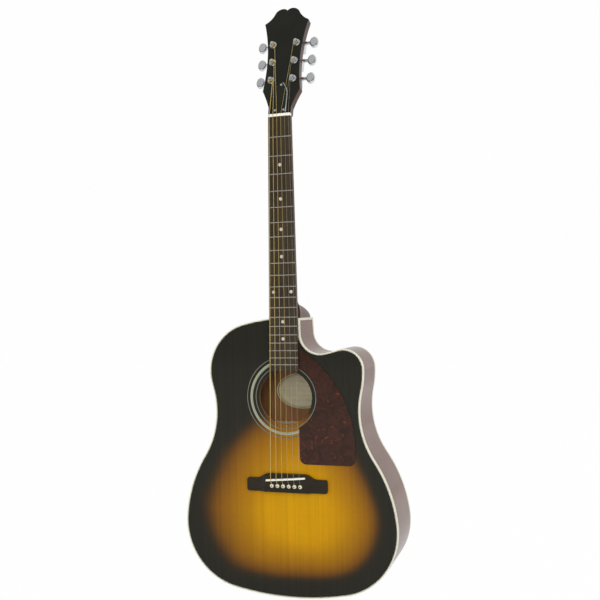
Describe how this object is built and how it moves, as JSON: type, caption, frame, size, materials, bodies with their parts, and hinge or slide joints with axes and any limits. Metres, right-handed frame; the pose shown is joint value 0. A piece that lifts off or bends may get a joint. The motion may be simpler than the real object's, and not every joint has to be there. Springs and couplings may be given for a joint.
{
  "type": "acoustic guitar",
  "caption": "Steel-string acoustic guitar: slope-shouldered body with one rounded cutaway, sunburst top, tortoise pickguard and six geared tuners that turn.",
  "frame": {"origin": "seat of the end pin on the outer surface of the tail, on the centreline, 63 mm behind the soundboard", "axes": "+Z from the tail up the neck to the headstock, soundboard faces -Y, +X towards the treble side (the cutaway)"},
  "size_m": [0.3978, 0.1466, 1.0879],
  "materials": {
    "sunburst_top": "glossy sunburst over spruce, amber middle and near-black rim",
    "mahogany_gloss": "glossy dark mahogany",
    "mahogany_neck": "satin mahogany",
    "inner_wood": "bare spruce and mahogany",
    "rosewood": "oiled dark rosewood",
    "cream_binding": "aged cream plastic",
    "rosette": "black and white plies under lacquer",
    "tortoise": "dark red-brown tortoise pattern",
    "label_paper": "matt aged paper",
    "bone": "polished white",
    "cream_plastic": "cream",
    "pearl_dot": "pale pearl",
    "nickel": "polished nickel silver",
    "black_gloss": "black lacquered veneer",
    "black_plastic": "black plastic",
    "steel": "plain",
    "chrome": "polished",
    "chrome_satin": "polished",
    "bronze_wound": "bronze wrap wire",
    "plain_steel": "plain music wire"
  },
  "bodies": {
    "root": {"soundboard": "sunburst_top", "back_plate": "mahogany_gloss", "side_bass": "mahogany_gloss", "side_treble": "mahogany_gloss", "binding_top": "cream_binding", "binding_back": "cream_binding", "rosette_rings": "rosette", "pickguard": "tortoise", "label": "label_paper", "neck_block": "inner_wood", "tail_block": "inner_wood", "kerfed_linings": "inner_wood", "soundboard_braces": "inner_wood", "back_braces": "inner_wood", "bridge_plate": "inner_wood", "bridge": "rosewood", "fingerboard": "rosewood", "saddle": "bone", "nut": "bone", "bridge_pins": "cream_plastic", "position_dots": "pearl_dot", "frets": "nickel", "neck": "mahogany_neck", "headstock_veneer": "black_gloss", "truss_rod_cover": "black_plastic", "truss_rod": "steel", "tuner_housings": "chrome", "tuner_bushings": "chrome", "screws": "chrome", "end_pin": "cream_plastic", "string_1": "plain_steel", "string_2": "plain_steel", "string_3": "bronze_wound", "string_4": "bronze_wound", "string_5": "bronze_wound", "string_6": "bronze_wound"},
    "button_1": {"tuner_button_1": "chrome_satin", "worm_shaft_1": "chrome"},
    "post_1": {"string_post_1": "chrome", "string_winding_1": "plain_steel"},
    "button_2": {"tuner_button_2": "chrome_satin", "worm_shaft_2": "chrome"},
    "post_2": {"string_post_2": "chrome", "string_winding_2": "plain_steel"},
    "button_3": {"tuner_button_3": "chrome_satin", "worm_shaft_3": "chrome"},
    "post_3": {"string_post_3": "chrome", "string_winding_3": "bronze_wound"},
    "button_4": {"tuner_button_4": "chrome_satin", "worm_shaft_4": "chrome"},
    "post_4": {"string_post_4": "chrome", "string_winding_4": "bronze_wound"},
    "button_5": {"tuner_button_5": "chrome_satin", "worm_shaft_5": "chrome"},
    "post_5": {"string_post_5": "chrome", "string_winding_5": "bronze_wound"},
    "button_6": {"tuner_button_6": "chrome_satin", "worm_shaft_6": "chrome"},
    "post_6": {"string_post_6": "chrome", "string_winding_6": "bronze_wound"}
  },
  "joints": [
    {"name": "button_turn_1", "type": "hinge", "parent": "root", "child": "button_1", "pos_m": [0.0207, -0.02413, 0.93432], "axis": [1, 0, 0], "continuous": true},
    {"name": "post_turn_1", "type": "hinge", "parent": "root", "child": "post_1", "pos_m": [0.0207, -0.0444, 0.93136], "axis": [0, 0.9588, -0.284], "continuous": true},
    {"name": "button_turn_2", "type": "hinge", "parent": "root", "child": "button_2", "pos_m": [0.0208, -0.01362, 0.9698], "axis": [1, 0, 0], "continuous": true},
    {"name": "post_turn_2", "type": "hinge", "parent": "root", "child": "post_2", "pos_m": [0.0208, -0.03389, 0.96683], "axis": [0, 0.9588, -0.284], "continuous": true},
    {"name": "button_turn_3", "type": "hinge", "parent": "root", "child": "button_3", "pos_m": [0.0226, -0.00311, 1.00527], "axis": [1, 0, 0], "continuous": true},
    {"name": "post_turn_3", "type": "hinge", "parent": "root", "child": "post_3", "pos_m": [0.0226, -0.02339, 1.00231], "axis": [0, 0.9588, -0.284], "continuous": true},
    {"name": "button_turn_4", "type": "hinge", "parent": "root", "child": "button_4", "pos_m": [-0.0226, -0.00311, 1.00527], "axis": [1, 0, 0], "continuous": true},
    {"name": "post_turn_4", "type": "hinge", "parent": "root", "child": "post_4", "pos_m": [-0.0226, -0.02339, 1.00231], "axis": [0, 0.9588, -0.284], "continuous": true},
    {"name": "button_turn_5", "type": "hinge", "parent": "root", "child": "button_5", "pos_m": [-0.0208, -0.01362, 0.9698], "axis": [1, 0, 0], "continuous": true},
    {"name": "post_turn_5", "type": "hinge", "parent": "root", "child": "post_5", "pos_m": [-0.0208, -0.03389, 0.96683], "axis": [0, 0.9588, -0.284], "continuous": true},
    {"name": "button_turn_6", "type": "hinge", "parent": "root", "child": "button_6", "pos_m": [-0.0207, -0.02413, 0.93432], "axis": [1, 0, 0], "continuous": true},
    {"name": "post_turn_6", "type": "hinge", "parent": "root", "child": "post_6", "pos_m": [-0.0207, -0.0444, 0.93136], "axis": [0, 0.9588, -0.284], "continuous": true}
  ],
  "couplings": [
    {"joint": "post_turn_1", "follows": "button_turn_1", "ratio": -0.071429},
    {"joint": "post_turn_2", "follows": "button_turn_2", "ratio": -0.071429},
    {"joint": "post_turn_3", "follows": "button_turn_3", "ratio": -0.071429},
    {"joint": "post_turn_4", "follows": "button_turn_4", "ratio": 0.071429},
    {"joint": "post_turn_5", "follows": "button_turn_5", "ratio": 0.071429},
    {"joint": "post_turn_6", "follows": "button_turn_6", "ratio": 0.071429}
  ]
}
